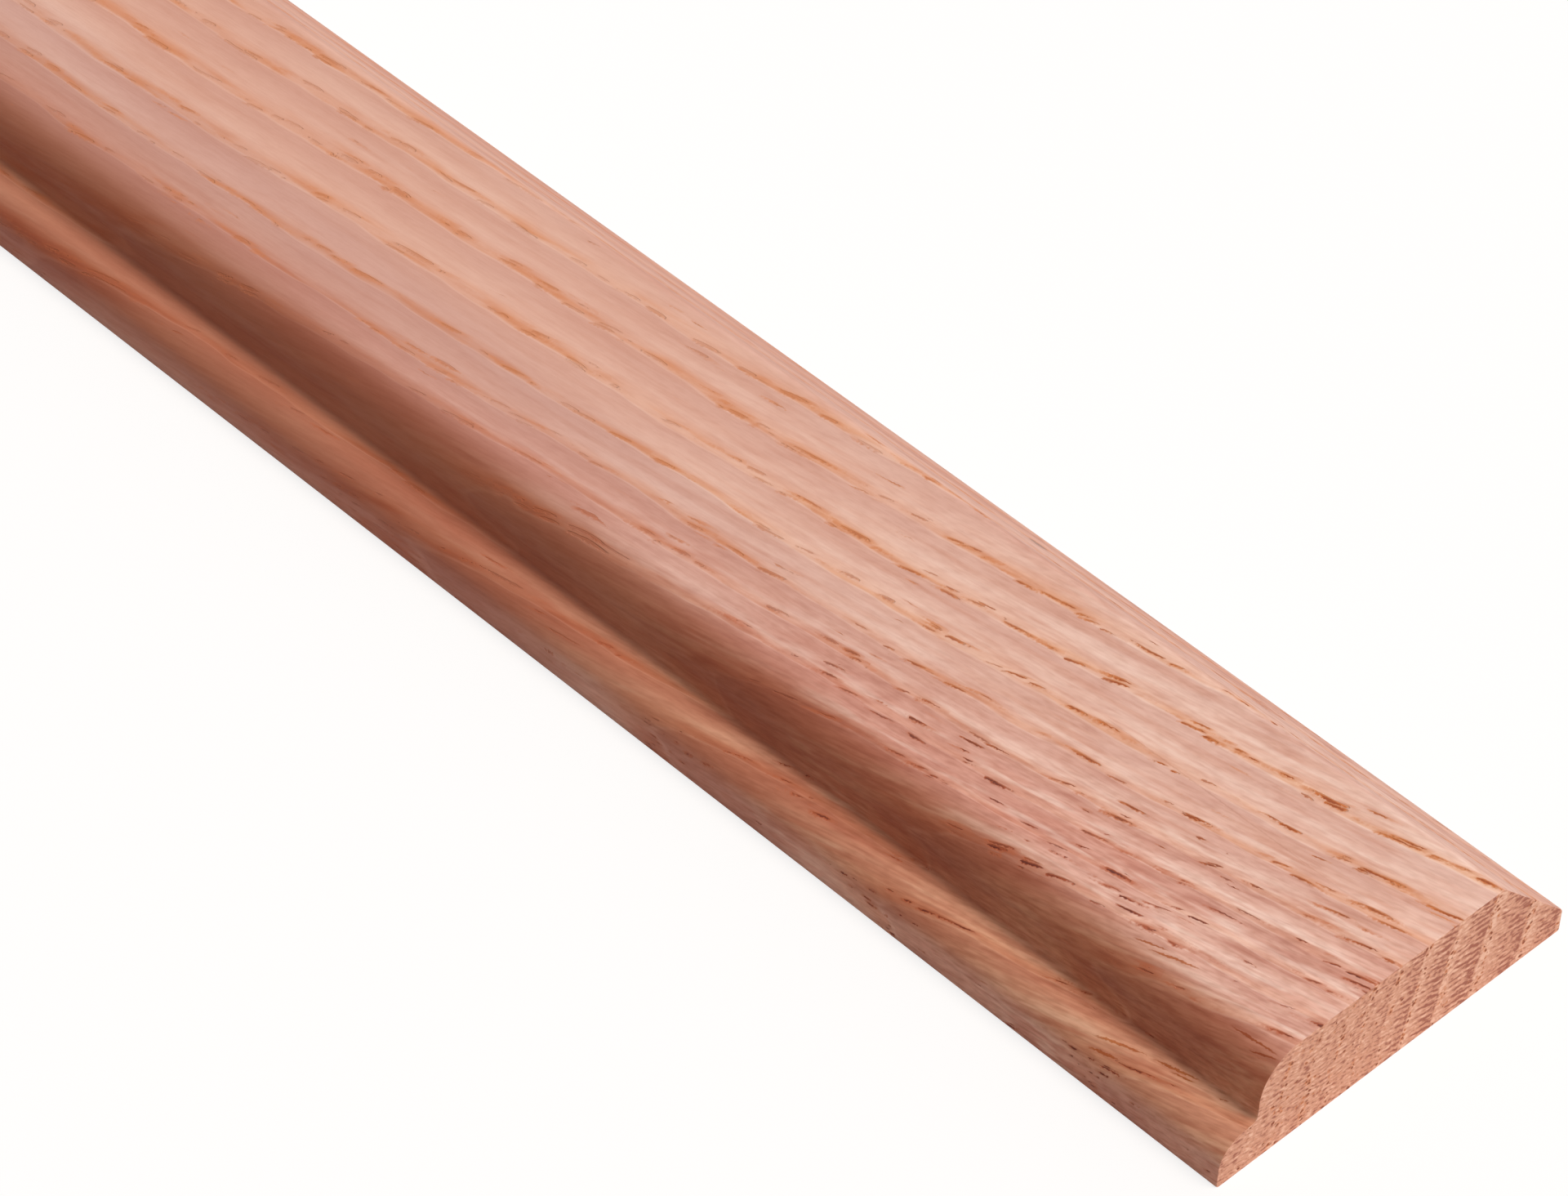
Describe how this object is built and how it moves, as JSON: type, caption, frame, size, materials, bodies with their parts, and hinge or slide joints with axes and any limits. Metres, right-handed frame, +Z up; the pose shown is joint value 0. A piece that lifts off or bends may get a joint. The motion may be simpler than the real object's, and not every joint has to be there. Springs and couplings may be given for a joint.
{
  "type": "finger-jointed batten",
  "caption": "Moulded oak batten with a rounded lip, an ovolo step, a flat face and a bevelled edge, glued up end to end from finger-jointed blocks.",
  "frame": {"origin": "middle of the flat back, at half the length and half the width", "axes": "+X along the batten to the sawn end of block 1, +Y across it from the rounded lip to the bevelled edge, +Z up out of the moulded face"},
  "size_m": [2, 0.06, 0.016],
  "materials": {
    "red_oak_1": "planed, unfinished",
    "red_oak_2": "planed, unfinished",
    "red_oak_3": "planed, unfinished",
    "red_oak_4": "planed, unfinished",
    "red_oak_5": "planed, unfinished"
  },
  "bodies": {
    "root": {"oak_block_1": "red_oak_1", "oak_block_2": "red_oak_2", "oak_block_3": "red_oak_3", "oak_block_4": "red_oak_4", "oak_block_5": "red_oak_5"}
  },
  "joints": []
}
